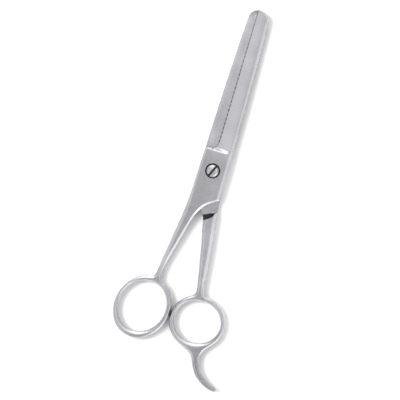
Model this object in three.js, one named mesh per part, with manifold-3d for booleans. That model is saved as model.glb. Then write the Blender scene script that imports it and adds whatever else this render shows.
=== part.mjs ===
// Thinning shears: two forged steel halves on a slotted pivot screw.
// Frame: millimetres, +Z up along the pivot axis, +Y towards the blade tips, origin on the pivot
// axis at the underside. Shown closed, lying flat, with the plain-edged half on top.
import * as THREE from "three";
import { mergeVertices } from "three/addons/utils/BufferGeometryUtils.js";
import Module from "manifold-3d";

const wasm = await Module();
wasm.setup();

// ---------------------------------------------------------------------------
// Driving dimensions
// ---------------------------------------------------------------------------

// Thickness. Each half is modelled face up: its z = 0 is the plane between the two halves.
const HALF_THICK = 2.5;
const FACE_GAP = 0.1;
const INNER_Z = FACE_GAP / 2;
const OUTER_Z = INNER_Z + HALF_THICK;
const MID_Z = OUTER_Z;
// A joined piece stands this much lower than its neighbour, so that their faces don't lie in one plane.
const SMALL_STEP = 0.02;

// Blades.
const BLADE_ROOT_Y = 4;
const BLADE_END_Y = 82;
const SHOULDER_Y = 10.8;
const BEVEL_WIDTH = 1.5;
const BACK_SHARE = 0.7;
const TIP_THICK = 1.5;
const EDGE_WIDTH = 0.7;
const EDGE_THICK = 0.4;
const EDGE_RISE = 0.25;
const FLARE_TOP_Y = 15;
const FLARE_LENGTH = 4.2;
const FLARE_WIDTH = 2.1;
const NOSE_Y = 75.4;
const NOSE_LENGTH = 4.4;
const BLADE_ROWS = [BLADE_ROOT_Y, 11, 11.4, 12, 13, 14, FLARE_TOP_Y, 25, 36, 48, 60, 70, BLADE_END_Y];

// Comb of the toothed blade.
const SLOT_COUNT = 29;
const SLOT_PITCH = 2.21;
const SLOT_FIRST_Y = 14.46;
const SLOT_WIDTH = 1.1;
const SLOT_ROOT_X = 1.37;

// Plate and shank.
const CHAMFER = 1.1;
const PLATE_END_Y = -26;
const SHANK_LOW_Z = -2.2;
const SHANK_TOP_AT_RING = 2.1;
const RECESS_ROUND = 1.9;
const RECESS_REACH_X = [-12, 4];
const RECESS_REACH_Y = -10;

// Rings and finger rest.
const ROD_HALF_HEIGHT = 2.15;
const ROD_SQUARENESS = 0.8;
const REST_HEIGHT_SHARE = 0.93;
const REST_HEIGHT_TO_WIDTH = 1.25;
const RING_STEPS = 56;
const ROD_SIDES = 12;

// Pivot.
const PIVOT_RADIUS = 1.95;
const PIVOT_CLEARANCE = 0.07;
const HEAD_RADIUS = 2.95;
const HEAD_BOTTOM_Z = 3.86;
const HEAD_TOP_Z = 5.2;
const HEAD_BEVEL = 0.45;
const HEAD_DOME = 0.08;
const HEAD_SLOT_LENGTH = 12;
const HEAD_SLOT_WIDTH = 0.9;
const HEAD_SLOT_DEPTH = 0.75;
const HEAD_SLOT_ANGLE = THREE.MathUtils.degToRad(66.5);
const COUNTERBORE_RADIUS = 3.55;
const COUNTERBORE_FLOOR_Z = 3.6;
const WASHER_RADIUS = 3.25;
const WASHER_HOLE_RADIUS = 2.1;
const WASHER_BOTTOM_Z = 3.62;
const WASHER_THICK = 0.2;
const ROUND_SEGMENTS = 48;

// Steps of a curve between two given points, and the size of the blocks that only cut.
const CURVE_STEPS = 2;
const CUT_REACH = 120;
const CUT_HEIGHT = 10;
const NOSE_REACH = 12;

// What differs between the halves. Each is seen from its own outer side, blade to the right of
// its spine line and shank to the left. Shank rows are [y, outer x, inner x].
const PLAIN_HALF = {
  edgeX: (y) => -0.58 - 0.0028 * y - flare(y),
  backX: (y) => 7.1 - 0.01 * y - 0.00019 * y * y,
  noseX: 0.2,
  noseHalfWidth: 5.05,
  plateSide: [
    [-6.45, 10.2], [-6.6, 7], [-6.78, 3], [-6.85, -2], [-6.95, -8], [-7.1, -13], [-7.3, -17], [-8.2, -26],
  ],
  shank: [
    [-18, -7.4, 0.5], [-21, -7.7, -1.2], [-24.5, -8.05, -2.45], [-28, -8.5, -3.4], [-32, -9.1, -4.4],
    [-36, -9.6, -5.35], [-40, -10.1, -6.35], [-44, -10.65, -7.3], [-48, -11.15, -8.2], [-52, -11.55, -8.8],
    [-54.5, -12.0, -8.9], [-56.2, -13.2, -8.3], [-57.6, -15.0, -6.9],
  ],
  ring: { centre: [-13.55, -71.35], axes: [13.35, 15.6], lean: -18 },
  hole: { centre: [-13.7, -71.05], axes: [10.95, 12.4], lean: -18 },
};
const TOOTHED_HALF = {
  edgeX: (y) => -3.9 + 0.012 * y,
  backX: (y) => 6.5 - 0.0023 * y - 0.000285 * y * y,
  noseX: -0.2,
  noseHalfWidth: 4.9,
  plateSide: [[-6.45, 10.2], [-6.75, 4], [-7.0, 0], [-7.15, -6], [-7.35, -12], [-7.9, -18], [-8.9, -26]],
  shank: [
    [-18, -7.9, 0.5], [-21, -8.2, -1.1], [-24, -8.6, -2.4], [-28, -9.2, -3.1], [-32, -9.75, -4.0],
    [-36, -10.25, -4.9], [-40, -10.7, -5.7], [-44, -11.15, -6.5], [-48, -11.5, -7.35], [-52, -11.85, -8.1],
    [-55, -12.2, -8.75], [-57.2, -12.95, -8.95], [-59.4, -15.2, -7.6],
  ],
  ring: { centre: [-13.5, -71.2], axes: [13.37, 13.1], lean: 0 },
  hole: { centre: [-13.75, -70.85], axes: [10.95, 10.0], lean: 0 },
};
// Lower right edge of the plate, from the corner by the blade down to the shank.
const PLATE_EDGE = [
  [7.05, -12.6], [5.7, -13.8], [4.2, -14.7], [2.8, -15.75], [1.55, -16.9], [0.45, -18.3],
  [-0.6, -20], [-1.5, -22.1], [-2.5, -24.8], [-2.9, -26],
];
// Front of the plate, where it steps down to the blade in a shallow S.
const PLATE_FRONT = [[5.6, 10.8], [3.2, 10.9], [0.6, 11.3], [-1.4, 11.3], [-2.7, 10.8], [-4.1, 10.35]];
// Where the inner face ends and the shank takes its full thickness.
const RECESS_EDGE = [
  [-9.5, -18.6], [-7.4, -19.2], [-6.5, -20.1], [-5.4, -21.3], [-4, -22.6], [-2.2, -23.7], [0, -24.6],
];
// Finger rest: rows of [x, y, half width] along its middle, from the ring to the tip.
const REST_ROWS = [
  [-16.2, -81.6, 4.6], [-17.1, -84.4, 3.2], [-17.7, -87.4, 2.1], [-18.45, -89.85, 1.68], [-19.6, -92.4, 1.6],
  [-21.5, -94.9, 1.6], [-24.4, -97.2, 1.5], [-27.35, -98.7, 1.4], [-29.5, -99.3, 1.2], [-30.7, -99.55, 0.95],
  [-31.25, -99.65, 0.45],
];

// ---------------------------------------------------------------------------
// Solids
// ---------------------------------------------------------------------------

// A closed three.js geometry as a solid that can be joined and cut.
function solid(geometry) {
  const bare = geometry.clone();
  bare.deleteAttribute("normal");
  bare.deleteAttribute("uv");
  const merged = mergeVertices(bare, 1e-4);
  return new wasm.Manifold(
    new wasm.Mesh({
      numProp: 3,
      vertProperties: merged.attributes.position.array,
      triVerts: new Uint32Array(merged.index.array),
    }),
  );
}

// A solid as a three.js geometry again.
function geometryOf(made) {
  const mesh = made.getMesh();
  const geometry = new THREE.BufferGeometry();
  geometry.setAttribute("position", new THREE.BufferAttribute(new Float32Array(mesh.vertProperties), 3));
  geometry.setIndex(new THREE.BufferAttribute(new Uint32Array(mesh.triVerts), 1));
  geometry.computeVertexNormals();
  return geometry;
}

// The skin over a row of equal rings of points, capped at its ends or closed on itself.
function loft(sections, closed = false) {
  const count = sections[0].length;
  const positions = sections.flatMap((ring) => ring.flatMap((p) => [p.x, p.y, p.z]));
  const index = [];
  const spans = closed ? sections.length : sections.length - 1;
  for (let s = 0; s < spans; s++) {
    const here = s * count;
    const next = ((s + 1) % sections.length) * count;
    for (let i = 0; i < count; i++) {
      const j = (i + 1) % count;
      index.push(here + i, here + j, next + j, here + i, next + j, next + i);
    }
  }
  const last = (sections.length - 1) * count;
  for (let i = 1; !closed && i < count - 1; i++) {
    index.push(0, i + 1, i);
    index.push(last, last + i, last + i + 1);
  }
  const geometry = new THREE.BufferGeometry();
  geometry.setAttribute("position", new THREE.Float32BufferAttribute(positions, 3));
  geometry.setIndex(index);
  return solid(geometry);
}

// A plate of the given outline between two heights, with optional chamfers on both faces.
function slab(outline, low, high, bevel = 0, bevelSegments = 1) {
  const shape = new THREE.Shape(outline.map(([x, y]) => new THREE.Vector2(x, y)));
  const geometry = new THREE.ExtrudeGeometry(shape, {
    depth: high - low - 2 * bevel,
    bevelEnabled: bevel > 0,
    bevelSize: bevel,
    bevelThickness: bevel,
    bevelOffset: -bevel,
    bevelSegments,
  });
  return solid(geometry.translate(0, 0, low + bevel));
}

// A round solid about the pivot axis from a profile of [radius, z] that starts and ends on it.
function turned(profile) {
  const points = profile.map(([r, z]) => new THREE.Vector2(r, z));
  const geometry = new THREE.LatheGeometry(points, ROUND_SEGMENTS);
  return solid(geometry.rotateX(Math.PI / 2));
}

// A plain cylinder about the pivot axis.
function cylinder(radius, low, high) {
  return turned([[0, low], [radius, low], [radius, high], [0, high]]);
}

// Points along a smooth curve through a few given ones.
function smooth(points) {
  const curve = new THREE.SplineCurve(points.map(([x, y]) => new THREE.Vector2(x, y)));
  return curve.getPoints(CURVE_STEPS * (points.length - 1)).map((p) => [p.x, p.y]);
}

// ---------------------------------------------------------------------------
// Parts of a half, each in the half's own face-up frame
// ---------------------------------------------------------------------------

// How far the cutting edge curves outwards as it runs down to the shoulder.
function flare(y) {
  const t = THREE.MathUtils.clamp((FLARE_TOP_Y - y) / FLARE_LENGTH, 0, 1);
  return FLARE_WIDTH * (1 - Math.sqrt(1 - t * t));
}

// The blade: flat inside, a long slope outside from the ridge to the edge, bevelled back.
function blade(half) {
  const sections = BLADE_ROWS.map((y) => {
    const along = THREE.MathUtils.clamp((y - SHOULDER_Y) / (BLADE_END_Y - SHOULDER_Y), 0, 1);
    const thick = THREE.MathUtils.lerp(HALF_THICK - SMALL_STEP, TIP_THICK, along);
    const edge = half.edgeX(y);
    const back = half.backX(y);
    const profile = [
      [edge, 0], [edge, EDGE_THICK], [edge + EDGE_WIDTH, EDGE_THICK + EDGE_RISE],
      [back - BEVEL_WIDTH, thick], [back, thick * BACK_SHARE], [back, 0],
    ];
    return profile.map(([x, z]) => new THREE.Vector3(x, y, INNER_Z + z));
  });
  return loft(sections).intersect(nosePlan(half));
}

// Everything below the rounded end of the blades, as a tall block.
function nosePlan(half) {
  const shape = new THREE.Shape();
  shape.moveTo(-NOSE_REACH, BLADE_ROOT_Y - 1);
  shape.lineTo(NOSE_REACH, BLADE_ROOT_Y - 1);
  shape.lineTo(NOSE_REACH, NOSE_Y);
  shape.absellipse(half.noseX, NOSE_Y, half.noseHalfWidth, NOSE_LENGTH, 0, Math.PI, false, 0);
  shape.lineTo(-NOSE_REACH, NOSE_Y);
  const options = { depth: CUT_HEIGHT, bevelEnabled: false, curveSegments: 24 };
  const geometry = new THREE.ExtrudeGeometry(shape, options);
  return solid(geometry.translate(0, 0, -CUT_HEIGHT / 2));
}

// The slots between the comb's teeth, open towards the cutting side, with round roots.
function combSlots(half) {
  const radius = SLOT_WIDTH / 2;
  const shape = new THREE.Shape();
  shape.moveTo(half.edgeX(0) - 1, -radius);
  shape.lineTo(SLOT_ROOT_X - radius, -radius);
  shape.absarc(SLOT_ROOT_X - radius, 0, radius, -Math.PI / 2, Math.PI / 2, false);
  shape.lineTo(half.edgeX(0) - 1, radius);
  const options = { depth: CUT_HEIGHT, bevelEnabled: false, curveSegments: 6 };
  let slots = null;
  for (let i = 0; i < SLOT_COUNT; i++) {
    const geometry = new THREE.ExtrudeGeometry(shape, options);
    const slot = solid(geometry.translate(0, SLOT_FIRST_Y + i * SLOT_PITCH, -CUT_HEIGHT / 2));
    slots = slots ? slots.add(slot) : slot;
  }
  return slots;
}

// The plate that carries the pivot, chamfered outside and flat inside.
function plate(half) {
  const outline = [
    [half.backX(SHOULDER_Y), SHOULDER_Y],
    ...smooth(PLATE_FRONT),
    ...smooth(half.plateSide),
    ...smooth(PLATE_EDGE).reverse(),
  ];
  const both = slab(outline, INNER_Z - 2 * CHAMFER, OUTER_Z, CHAMFER);
  const block = new THREE.BoxGeometry(CUT_REACH, CUT_REACH, CUT_HEIGHT);
  return both.intersect(solid(block.translate(0, 0, INNER_Z + CUT_HEIGHT / 2)));
}

// The shank at its full thickness, an eight-sided bar that flares into the ring.
function shank(half) {
  const rows = half.shank.map(([y, outer, inner]) => new THREE.Vector3(outer, inner, y));
  const curve = new THREE.CatmullRomCurve3(rows);
  const endY = rows[rows.length - 1].z;
  const points = curve.getPoints(CURVE_STEPS * (rows.length - 1)).reverse();
  const sections = points.map(({ x: outer, y: inner, z: y }) => {
    const along = THREE.MathUtils.clamp((PLATE_END_Y - y) / (PLATE_END_Y - endY), 0, 1);
    const high = THREE.MathUtils.lerp(OUTER_Z - SMALL_STEP, SHANK_TOP_AT_RING, along);
    const low = THREE.MathUtils.lerp(SHANK_LOW_Z, -SHANK_TOP_AT_RING, along);
    const profile = [
      [outer, low + CHAMFER], [outer, high - CHAMFER], [outer + CHAMFER, high], [inner - CHAMFER, high],
      [inner, high - CHAMFER], [inner, low + CHAMFER], [inner - CHAMFER, low], [outer + CHAMFER, low],
    ];
    return profile.map(([px, pz]) => new THREE.Vector3(px, y, pz));
  });
  return loft(sections).subtract(recess());
}

// The room that the other half's plate turns in, with a rounded end wall.
function recess() {
  const edge = smooth(RECESS_EDGE);
  const [left, right] = RECESS_REACH_X;
  const startY = edge[0][1];
  const endY = edge[edge.length - 1][1];
  const outline = [...edge, [right, endY], [right, RECESS_REACH_Y], [left, RECESS_REACH_Y], [left, startY]];
  return slab(outline.reverse(), INNER_Z - CUT_HEIGHT, INNER_Z, RECESS_ROUND, 3);
}

// One ring of points round a bar at a point of its middle line, square to the line.
function barSection(x, y, normal, halfWidth, halfHeight) {
  return Array.from({ length: ROD_SIDES }, (_, i) => {
    const a = (i / ROD_SIDES) * 2 * Math.PI;
    const side = Math.sign(Math.cos(a)) * Math.abs(Math.cos(a)) ** ROD_SQUARENESS * halfWidth;
    const up = Math.sign(Math.sin(a)) * Math.abs(Math.sin(a)) ** ROD_SQUARENESS * halfHeight;
    return new THREE.Vector3(x + normal.x * side, y + normal.y * side, up);
  });
}

// A point of a leaning oval at a share of its round.
function ovalPoint({ centre, axes, lean }, share) {
  const oval = new THREE.EllipseCurve(0, 0, axes[0], axes[1]);
  const turn = THREE.MathUtils.degToRad(lean);
  return oval.getPoint(share).rotateAround(new THREE.Vector2(), turn).add(new THREE.Vector2(...centre));
}

// The finger ring: an oval bar that fills the room between its outer oval and its hole.
function fingerRing(half) {
  const sections = [];
  for (let i = 0; i < RING_STEPS; i++) {
    const share = 1 - i / RING_STEPS;
    const outer = ovalPoint(half.ring, share);
    const inner = ovalPoint(half.hole, share);
    const middle = outer.clone().lerp(inner, 0.5);
    const across = outer.clone().sub(inner);
    const halfWidth = across.length() / 2;
    sections.push(barSection(middle.x, middle.y, across.normalize(), halfWidth, ROD_HALF_HEIGHT));
  }
  return loft(sections, true);
}

// The finger rest: a tapering hook that grows out of the ring.
function fingerRest() {
  const line = new THREE.CatmullRomCurve3(REST_ROWS.map(([x, y]) => new THREE.Vector3(x, y, 0)));
  const last = REST_ROWS.length - 1;
  const steps = CURVE_STEPS * last;
  const sections = [];
  for (let i = 0; i <= steps; i++) {
    const u = (i / steps) * last;
    const row = Math.min(Math.floor(u), last - 1);
    const halfWidth = THREE.MathUtils.lerp(REST_ROWS[row][2], REST_ROWS[row + 1][2], u - row);
    const point = line.getPoint(i / steps);
    const tangent = line.getTangent(i / steps);
    const halfHeight = Math.min(ROD_HALF_HEIGHT * REST_HEIGHT_SHARE, halfWidth * REST_HEIGHT_TO_WIDTH);
    const across = new THREE.Vector2(-tangent.y, tangent.x);
    sections.push(barSection(point.x, point.y, across, halfWidth, halfHeight));
  }
  return loft(sections);
}

// ---------------------------------------------------------------------------
// The pieces
// ---------------------------------------------------------------------------

// A piece's geometry from a solid made in the assembly's frame.
function piece(name, geometry, material) {
  const mesh = new THREE.Mesh(geometry, material);
  mesh.name = name;
  return mesh;
}

// The top half: plain cutting edge, thumb ring, pivot hole with a counterbore.
function upperHalf() {
  const body = blade(PLAIN_HALF).add(plate(PLAIN_HALF)).add(shank(PLAIN_HALF)).add(fingerRing(PLAIN_HALF));
  const bored = body
    .subtract(cylinder(PIVOT_RADIUS + PIVOT_CLEARANCE, -CUT_HEIGHT, CUT_HEIGHT))
    .subtract(cylinder(COUNTERBORE_RADIUS, COUNTERBORE_FLOOR_Z - MID_Z, CUT_HEIGHT));
  return geometryOf(bored).translate(0, 0, MID_Z);
}

// The bottom half: comb blade, finger ring with its rest, threaded hole. It lies face down.
function lowerHalf() {
  const body = blade(TOOTHED_HALF)
    .subtract(combSlots(TOOTHED_HALF))
    .add(plate(TOOTHED_HALF))
    .add(shank(TOOTHED_HALF))
    .add(fingerRing(TOOTHED_HALF))
    .add(fingerRest());
  const bored = body.subtract(cylinder(PIVOT_RADIUS + PIVOT_CLEARANCE, -CUT_HEIGHT, CUT_HEIGHT));
  return geometryOf(bored).rotateY(Math.PI).translate(0, 0, MID_Z);
}

// The pivot screw: slotted head with a bevelled rim, stem down to the underside.
function pivotScrew() {
  const body = turned([
    [0, 0], [PIVOT_RADIUS, 0], [PIVOT_RADIUS, HEAD_BOTTOM_Z], [HEAD_RADIUS, HEAD_BOTTOM_Z],
    [HEAD_RADIUS, HEAD_TOP_Z - HEAD_BEVEL], [HEAD_RADIUS - HEAD_BEVEL, HEAD_TOP_Z - HEAD_DOME],
    [0, HEAD_TOP_Z],
  ]);
  const cutter = new THREE.BoxGeometry(HEAD_SLOT_LENGTH, HEAD_SLOT_WIDTH, 2 * HEAD_SLOT_DEPTH);
  cutter.rotateZ(HEAD_SLOT_ANGLE).translate(0, 0, HEAD_TOP_Z);
  return geometryOf(body.subtract(solid(cutter)));
}

// The thin washer between the screw's head and the floor of the counterbore.
function frictionWasher() {
  const top = WASHER_BOTTOM_Z + WASHER_THICK;
  return geometryOf(
    cylinder(WASHER_RADIUS, WASHER_BOTTOM_Z, top).subtract(cylinder(WASHER_HOLE_RADIUS, 0, CUT_HEIGHT)),
  );
}

const satinSteel = new THREE.MeshStandardMaterial({ color: 0xb9babd, roughness: 0.38, metalness: 1 });
const screwSteel = new THREE.MeshStandardMaterial({ color: 0xc6c6c8, roughness: 0.25, metalness: 1 });
const washerSteel = new THREE.MeshStandardMaterial({ color: 0x8a8a8c, roughness: 0.45, metalness: 1 });

const shears = new THREE.Group();
shears.add(piece("lower_half", lowerHalf(), satinSteel));
shears.add(piece("upper_half", upperHalf(), satinSteel));
shears.add(piece("friction_washer", frictionWasher(), washerSteel));
shears.add(piece("pivot_screw", pivotScrew(), screwSteel));

export default shears;
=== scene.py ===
"""Thinning shears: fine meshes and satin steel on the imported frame, in millimetres until placed."""
import math

import bpy
import numpy as np
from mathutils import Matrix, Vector
from mathutils.geometry import delaunay_2d_cdt
from mathutils.kdtree import KDTree


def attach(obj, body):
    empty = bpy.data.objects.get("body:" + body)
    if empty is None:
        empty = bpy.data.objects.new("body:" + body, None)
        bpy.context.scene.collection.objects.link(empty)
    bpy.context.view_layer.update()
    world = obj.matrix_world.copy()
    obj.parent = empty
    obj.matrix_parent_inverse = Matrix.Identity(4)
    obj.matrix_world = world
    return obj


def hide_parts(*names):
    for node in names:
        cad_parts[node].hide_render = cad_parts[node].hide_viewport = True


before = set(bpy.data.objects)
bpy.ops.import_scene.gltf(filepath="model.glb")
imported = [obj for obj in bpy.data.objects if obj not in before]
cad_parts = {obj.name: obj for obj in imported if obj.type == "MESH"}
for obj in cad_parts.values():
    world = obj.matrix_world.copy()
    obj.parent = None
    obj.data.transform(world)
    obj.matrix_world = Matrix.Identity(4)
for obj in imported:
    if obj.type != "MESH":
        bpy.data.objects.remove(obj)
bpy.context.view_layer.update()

MM = 0.001

# ---------------------------------------------------------------------------
# Sizes, in millimetres. Each half is made face up: z = 0 is the plane between the halves, which comes to
# lie at MID_Z above the underside. A pair of numbers named _X, _Y or _Z is the stretch over which a change
# takes place, and _X is counted to the left of the pivot. _SOFT is how widely a corner is rounded.
# ---------------------------------------------------------------------------
HALF_THICK = 2.5
INNER_Z = 0.05
OUTER_Z = INNER_Z + HALF_THICK
MID_Z = OUTER_Z

# Mesh: points along curves, rows of points beside the outline, lines along features, and fill
STEP = 0.34
MIN_SPACING = 0.04
DENSE_STEP = 0.06
WALL_SAMPLE_STEP = 0.1
RAMP_SAMPLE_STEP = 0.2
NOSE_DENSITY = 1.3
ROW_DEPTHS = (0.06, 0.16, 0.27, 0.38, 0.5, 0.61, 0.7, 0.8, 0.97, 1.15, 1.33, 1.45, 1.57, 1.75)
ROW_GAP = 0.1
LINE_STEP = 0.3
RAMP_LINE_STEP = 0.15
WALL_LINES = 13
LINE_GAP = 0.06
LINE_CLEARANCE = 0.08
FILL_STEP = 0.5
FILL_ROW_STEP = FILL_STEP * 0.866
FILL_GAP = 0.3
FILL_CLEARANCE = 0.2
BORE_SIDES = 72
BORE_RINGS = (2.3, 2.7, 3.1, 3.4, 3.54, 3.56, 3.64, 3.75, 3.95, 4.3)

# Blade
SHOULDER_Y = 10.8
BLADE_START_Y = 8.5
BLADE_END_Y = 82.0
BLADE_BELOW_PLATE = 0.02
TIP_THICK = 1.5
BACK_SHARE = 0.7
BACK_FOOT_SHARE = 0.3
BACK_STEEPNESS = 4.0
BACK_SOFT = 0.15
BEVEL_WIDTH = 1.3
BEVEL_SOFT = 0.3
EDGE_WIDTH = 0.7
EDGE_THICK = 0.4
EDGE_RISE = 0.25
EDGE_SOFT = 0.08
FLARE_TOP_Y = 15.0
FLARE_LENGTH = 4.2
FLARE_WIDTH = 2.1
NOSE_Y = 75.4
NOSE_LENGTH = 4.4
NOSE_END_Y = 79.5
NOSE_BLEND = 6
NOSE_BEVEL_LOSS = 0.75
NOSE_BEVEL_Y = (NOSE_Y - 1.5, NOSE_Y + 4)
RAMP_WIDTH = 1.9
LIP_SLOPE = 0.2
LIP_LENGTH = 2
LIP_X = (2.6, 3.4)
HOLLOW_DEPTH = 0.22
HOLLOW_WIDTH = 5.0
HOLLOW_SKEW = 0.7
HOLLOW_Y = (12, 20)
BLADE_CROWN = 0.12

# Comb
SLOT_COUNT = 29
SLOT_PITCH = 2.21
SLOT_FIRST_Y = 14.46
SLOT_WIDTH = 1.1
SLOT_ROOT_X = 1.22
TOOTH_CORNER = (0.02, 0.09)
TOOTH_TIP_INSET = 0.3
FLANK_INSETS = (0.12, 0.1)

# Plate, shank and rings
# Flank and chamfer of a side, as widths seen from above. The inner side faces the other shank.
OUTER_FLANK = 0.15
OUTER_CHAMFER = (1.5, 0.9)
OUTER_CHAMFER_X = (2, 4)
OUTER_CHAMFER_Y = (-22, -8)
INNER_FLANK = (0.15, 0.2)
INNER_FLANK_Y = (-18, -27)
INNER_CHAMFER = 1.05
OUTER_SLOPE = 0.36
INNER_SLOPE = 0.66
KNEE_SOFT = 0.12
TOP_SOFT = 0.1
PARTING = 0.1
SHANK_TOP = 2.1
SHANK_THIN_Y = (-22, -57)
INNER_DEPTH = 2.2
WALL_DEPTH = 2.4
NO_FACE_DEPTH = 9.0
BAR_ROUND = 1.5
BAR_ROUND_Y = (-49, -57)
BAR_FLANK = 0.25
BAR_FLANK_SLOPE = 8
BAR_SOFT = 0.12
HOLE_FLANK = 0.25
HOLE_CHAMFER = 0.85
HOLE_SLOPE = 1.22
HOLE_SOFT = 0.45
HOLE_ROUND = 2.5
HOLE_LOW_Y = (-68, -79)
HOLE_LOW_LOSS = 0.75
HOLE_LOW_LOSS_SPAN = (1, 8)
PLATE_CROWN = 0.1
CROWN_FLAT_Y = -12.0

# Pivot. Heights of the screw and the washer are above the underside.
PIVOT_RADIUS = 1.95
TAIL_CHAMFER = 0.3
HOLE_RADIUS = 2.02
HEAD_RADIUS = 2.95
HEAD_BOTTOM_Z = 3.86
HEAD_TOP_Z = 5.2
HEAD_DOME = 0.15
HEAD_CHAMFER = 0.8
HEAD_CHAMFER_DROP = 0.62 * HEAD_CHAMFER
HEAD_SIDES = 120
HEAD_SLOT_WIDTH = 1.02
HEAD_SLOT_DEPTH = 0.75
HEAD_SLOT_ANGLE = math.radians(65.5)
SLOT_EDGE_ROUND = 0.07
SLOT_EDGE_ANGLE = math.radians(40)
COUNTERBORE_RADIUS = 3.55
COUNTERBORE_FLOOR = 3.6 - MID_Z
RIM_WIDTH = 0.12
RIM_SLOPE = 0.6
RIM_SOFT = 0.05
WASHER_RADIUS = 3.25
WASHER_HOLE_RADIUS = 2.1
WASHER_BOTTOM_Z = 3.62
WASHER_THICK = 0.2
WASHER_SOFT = 0.05
WASHER_SIDES = 96

# Angle in degrees at which an edge is shaded sharp
HALF_SHARP = 32
SCREW_SHARP = 40
WASHER_SHARP = 50

# Where the steel is brighter, where shade is painted into its colour, and by how much
BLADE_MARK_Y = (SHOULDER_Y - 0.4, SHOULDER_Y + 0.4)
SHANK_POLISH_START_Y = (-20, -30)
SHANK_POLISH_END_Y = (-60, -52)
# Painted shade: the colour darkens towards the foot of the rings and over the finger rest.
RING_PAINTED_SHADE = 0.04
RING_PAINTED_SHADE_Y = (-70, -80)
REST_PAINTED_SHADE = 0.19
REST_PAINTED_SHADE_Y = (-85, -91)
# Painted shade: over these stretches the wall that ends the inner face is coloured near-black.
WALL_SHADE_START = (-0.05, 0.15)
WALL_SHADE_END = (-0.1, 0.2)
# Painted shade inside the counterbore, below its rim.
BORE_SHADE_RADIUS = COUNTERBORE_RADIUS + 0.03
BORE_SHADE_TOP_Z = OUTER_Z - 0.2
# Painted shade: the screw's slot darkens over this stretch of depth.
SLOT_SHADE_Z = (HEAD_TOP_Z - 0.5, HEAD_TOP_Z - 0.25)
# Painted shadow: how dark, and how far out, the comb half is coloured beside the plain half's edge and
# front.
SEAM_SHADOW = 0.42
SEAM_REACH = (0.25, 0.8)
SEAM_END_Y = 14.0
# Painted shade: the rings are coloured near-black round the point where they touch.
CONTACT_SHADE = 0.95
CONTACT_Y = -70.6
CONTACT_REACH_X = (0.25, 1.0)
CONTACT_REACH_Y = (0.8, 2.7)
# Painted shade over the whole washer, which lies in the shade under the head.
WASHER_SHADE = 0.8


def flare(y):
    """How far the plain edge sweeps out where it meets the plate."""
    t = np.clip((FLARE_TOP_Y - y) / FLARE_LENGTH, 0, 1)
    return FLARE_WIDTH * (1 - np.sqrt(1 - t * t))


# What differs between the halves. Outlines run round the half the way angles grow.
PLAIN = {
    "edge_x": lambda y: -0.58 - 0.0028 * y,
    "back_x": lambda y: 7.1 - 0.01 * y - 0.00019 * y * y,
    "nose": (0.2, 5.05),
    "front": [(-3.3, 10.5), (-4.1, 10.3), (-5.2, 10.2), (-6.5, 10.15)],
    "side": [(-6.5, 10.15), (-6.65, 7), (-6.78, 3), (-6.85, -2), (-6.95, -8), (-7.1, -13), (-7.3, -17),
             (-7.65, -20.5), (-8.05, -24.5), (-8.5, -28), (-9.1, -32), (-9.6, -36), (-10.1, -40),
             (-10.65, -44), (-11.15, -48), (-11.55, -52), (-11.9, -54.2), (-12.5, -55.4),
             (-13.8, -56.15)],
    "ring": {"centre": (-13.55, -71.35), "axes": (13.35, 15.6), "lean": -18.0},
    "hole": {"centre": (-13.7, -71.05), "axes": (10.95, 12.4), "lean": -18.0},
    "ring_arcs": [(100, 420)],
    "rest": [],
    "inner": [(-7.0, -57.45), (-8.0, -56.6), (-8.7, -55.4), (-8.95, -54), (-8.8, -52), (-8.2, -48),
              (-7.3, -44), (-6.35, -40), (-5.35, -36), (-4.4, -32), (-3.4, -28), (-2.5, -24.6),
              (-1.65, -22.1), (-0.7, -20), (0.35, -18.3), (1.5, -16.9), (2.8, -15.8), (4.2, -14.8),
              (5.8, -13.8), (7.1, -12.9)],
    "comb": False,
    "polish": 0.02,
}
TOOTHED = {
    "edge_x": lambda y: -3.9 + 0.012 * y,
    "back_x": lambda y: 6.5 - 0.0023 * y - 0.000285 * y * y,
    "nose": (-0.2, 4.9),
    "front": [(-3.8, 12.9), (-4.0, 11.6), (-4.6, 10.7), (-5.4, 10.3), (-6.45, 10.2)],
    "side": [(-6.45, 10.2), (-6.75, 4), (-7.0, 0), (-7.15, -6), (-7.35, -12), (-7.9, -18), (-8.6, -24),
             (-9.2, -28), (-9.75, -32), (-10.25, -36), (-10.7, -40), (-11.15, -44), (-11.5, -48),
             (-11.85, -52), (-12.2, -55), (-12.95, -57.2), (-14.3, -58.15)],
    "ring": {"centre": (-13.5, -71.2), "axes": (13.37, 13.1), "lean": 0.0},
    "hole": {"centre": (-13.75, -70.85), "axes": (10.95, 10.0), "lean": 0.0},
    "ring_arcs": [(101, 216), (290, 418)],
    "rest": [(-22.6, -80.8), (-21.1, -82.6), (-20.1, -84.5), (-19.7, -86.5), (-19.8, -88.4),
             (-20.35, -90.3), (-21.5, -92.4), (-23.3, -94.4), (-25.7, -96.2), (-28.4, -97.65),
             (-30.3, -98.3), (-31.3, -98.95), (-31.45, -99.8), (-30.7, -100.5), (-28.5, -100.4),
             (-26.4, -99.85), (-24.4, -98.95), (-22.4, -97.7), (-20.4, -96.1), (-18.9, -94.3),
             (-17.5, -91.9), (-16.6, -89.9), (-15.75, -88.1), (-14.65, -86.6), (-13.1, -85.45),
             (-11, -84.5)],
    "inner": [(-7.6, -59.35), (-8.6, -58.45), (-8.95, -57.2), (-8.75, -55), (-8.1, -52), (-7.35, -48),
              (-6.5, -44), (-5.7, -40), (-4.9, -36), (-4.0, -32), (-3.1, -28), (-2.55, -24.9),
              (-2.0, -22.6), (-1.1, -21), (-0.3, -19.8), (0.6, -18.3), (1.6, -16.9), (2.8, -15.7),
              (4.2, -14.6), (5.6, -13.7), (6.5, -12.9)],
    "comb": True,
    "polish": 0.12,
}
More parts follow.
